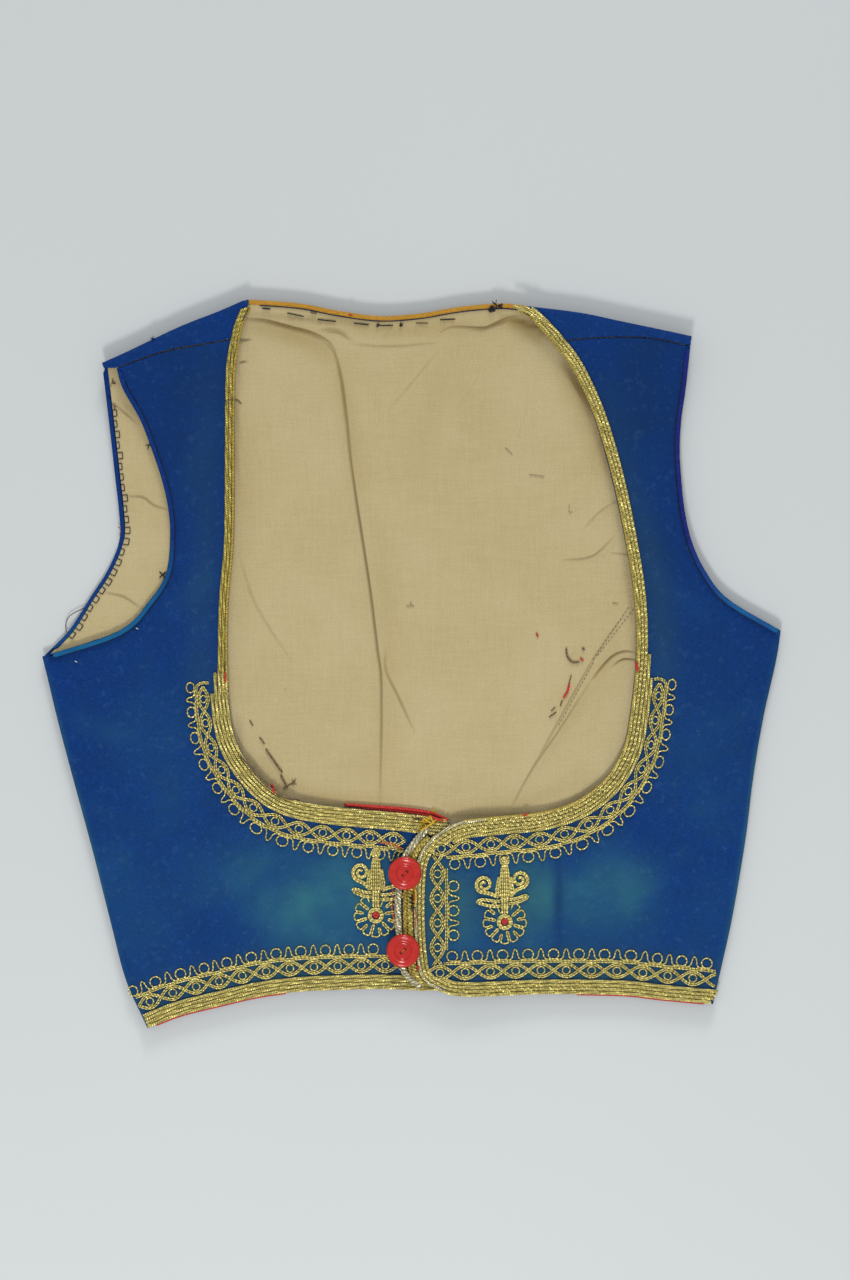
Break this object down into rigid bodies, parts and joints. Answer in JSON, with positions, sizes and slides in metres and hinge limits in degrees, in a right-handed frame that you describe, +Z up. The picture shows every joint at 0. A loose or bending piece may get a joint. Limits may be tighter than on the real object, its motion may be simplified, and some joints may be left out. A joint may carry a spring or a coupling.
{
  "type": "folk waistcoat",
  "caption": "Sleeveless folk waistcoat in blue wool with couched gold cord borders, red buttons and a deep round neck, laid flat with its front up.",
  "frame": {"origin": "under the middle of the garment's outline, on the surface that it lies on", "axes": "+Z up from the surface, +Y from the hem to the neck, +X towards the wearer's left"},
  "size_m": [0.442, 0.436, 0.0135],
  "materials": {
    "blue_wool": "fulled blue wool cloth, matt with a short nap, faded to teal in patches",
    "cream_cotton": "plain woven undyed cotton, creased and spotted with age",
    "gold_thread": "metal-wrapped gold cord and braid, tarnished, with a fine sparkle",
    "silver_thread": "metal-wrapped cord worn to a dull silver",
    "ochre_cord": "matt twisted ochre cord",
    "red_thread": "matt red cotton thread and piping",
    "red_plastic": "glossy moulded red buttons with turned rings"
  },
  "bodies": {
    "root": {"armhole_back_left": "blue_wool", "armhole_back_right": "blue_wool", "armhole_front_left": "blue_wool", "armhole_front_right": "blue_wool", "back": "blue_wool", "back_lining": "cream_cotton", "border_front_left": "gold_thread", "border_hem_left": "gold_thread", "border_hem_right": "gold_thread", "border_neck_left": "gold_thread", "border_neck_right": "gold_thread", "braid_hem_right": "gold_thread", "braid_left": "gold_thread", "braid_neck_right": "gold_thread", "button_lower": "red_plastic", "button_upper": "red_plastic", "front_left": "blue_wool", "front_right": "blue_wool", "loop_gold": "gold_thread", "loop_silver": "silver_thread", "motif_centre_left": "red_thread", "motif_centre_right": "red_thread", "motif_rosette_left": "gold_thread", "motif_rosette_right": "gold_thread", "motif_stem_left": "gold_thread", "motif_stem_right": "gold_thread", "neck_binding": "ochre_cord", "piping_hem_left": "red_thread", "piping_hem_right": "red_thread"}
  },
  "joints": []
}
